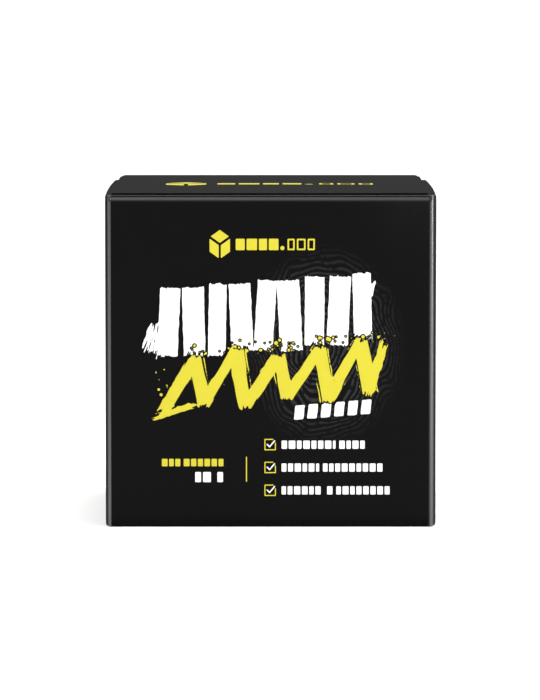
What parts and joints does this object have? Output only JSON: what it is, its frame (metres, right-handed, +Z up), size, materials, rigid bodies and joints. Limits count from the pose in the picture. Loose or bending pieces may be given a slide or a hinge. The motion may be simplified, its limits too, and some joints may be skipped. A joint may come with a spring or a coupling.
{
  "type": "boxed gym chalk block",
  "caption": "Small square tuck-end carton in matte black board holding a tissue-wrapped block of gym chalk; the lid and base fold open.",
  "frame": {"origin": "middle of the carton's base, on the surface it stands on", "axes": "+Z up through the lid, -Y out of the printed front, +X to the right of the front"},
  "size_m": [0.0544, 0.056, 0.0551],
  "materials": {
    "black_carton_board": "matte black print film on coated carton board, with yellow and white print and raw grey-white cut edges",
    "board_inside": "uncoated light grey-white carton board",
    "yellow_print": "matte yellow ink",
    "white_print": "matte white ink",
    "seam_glue": "dried dispersion glue",
    "tissue": "thin matte tissue paper, creased",
    "sticker": "semi-matte paper sticker",
    "chalk": "pressed white magnesium carbonate, powdery"
  },
  "bodies": {
    "carton": {"front_panel": "black_carton_board", "back_panel": "black_carton_board", "left_side_panel": "black_carton_board", "right_side_panel": "black_carton_board", "glue_flap": "black_carton_board", "seam_glue": "seam_glue", "chalk_block": "chalk", "wrap_sticker": "sticker", "wrap_sleeve": "tissue", "wrap_top_fold_left": "tissue", "wrap_top_fold_right": "tissue", "wrap_top_fold_rear": "tissue", "wrap_top_fold_front": "tissue", "wrap_bottom_fold_left": "tissue", "wrap_bottom_fold_right": "tissue", "wrap_bottom_fold_rear": "tissue", "wrap_bottom_fold_front": "tissue"},
    "lid": {"lid_panel": "black_carton_board"},
    "lid_tuck": {"lid_tuck_flap": "black_carton_board"},
    "top_left_dust": {"top_left_dust_flap": "black_carton_board"},
    "top_right_dust": {"top_right_dust_flap": "black_carton_board"},
    "base": {"bottom_panel": "black_carton_board"},
    "base_tuck": {"bottom_tuck_flap": "black_carton_board"},
    "bottom_left_dust": {"bottom_left_dust_flap": "black_carton_board"},
    "bottom_right_dust": {"bottom_right_dust_flap": "black_carton_board"}
  },
  "joints": [
    {"name": "lid_hinge", "type": "hinge", "parent": "carton", "child": "lid", "pos_m": [0, 0.02775, 0.05485], "axis": [-1, 0, 0], "range_deg": [0, 180]},
    {"name": "lid_tuck_hinge", "type": "hinge", "parent": "lid", "child": "lid_tuck", "pos_m": [0, -0.02705, 0.05485], "axis": [-1, 0, 0], "range_deg": [0, 27]},
    {"name": "top_left_dust_hinge", "type": "hinge", "parent": "carton", "child": "top_left_dust", "pos_m": [-0.02695, 0, 0.0542], "axis": [0, -1, 0], "range_deg": [0, 72]},
    {"name": "top_right_dust_hinge", "type": "hinge", "parent": "carton", "child": "top_right_dust", "pos_m": [0.02695, 0, 0.0542], "axis": [0, 1, 0], "range_deg": [0, 72]},
    {"name": "base_hinge", "type": "hinge", "parent": "carton", "child": "base", "pos_m": [0, -0.02775, 0.00025], "axis": [-1, 0, 0], "range_deg": [0, 180]},
    {"name": "base_tuck_hinge", "type": "hinge", "parent": "base", "child": "base_tuck", "pos_m": [0, 0.02705, 0.00025], "axis": [-1, 0, 0], "range_deg": [0, 27]},
    {"name": "bottom_left_dust_hinge", "type": "hinge", "parent": "carton", "child": "bottom_left_dust", "pos_m": [-0.02695, 0, 0.0009], "axis": [0, 1, 0], "range_deg": [0, 72]},
    {"name": "bottom_right_dust_hinge", "type": "hinge", "parent": "carton", "child": "bottom_right_dust", "pos_m": [0.02695, 0, 0.0009], "axis": [0, -1, 0], "range_deg": [0, 72]}
  ],
  "couplings": [
    {"joint": "lid_tuck_hinge", "follows": "lid_hinge", "ratio": 0.15},
    {"joint": "top_left_dust_hinge", "follows": "lid_hinge", "ratio": 0.4},
    {"joint": "top_right_dust_hinge", "follows": "lid_hinge", "ratio": 0.4},
    {"joint": "base_tuck_hinge", "follows": "base_hinge", "ratio": 0.15},
    {"joint": "bottom_left_dust_hinge", "follows": "base_hinge", "ratio": 0.4},
    {"joint": "bottom_right_dust_hinge", "follows": "base_hinge", "ratio": 0.4}
  ]
}
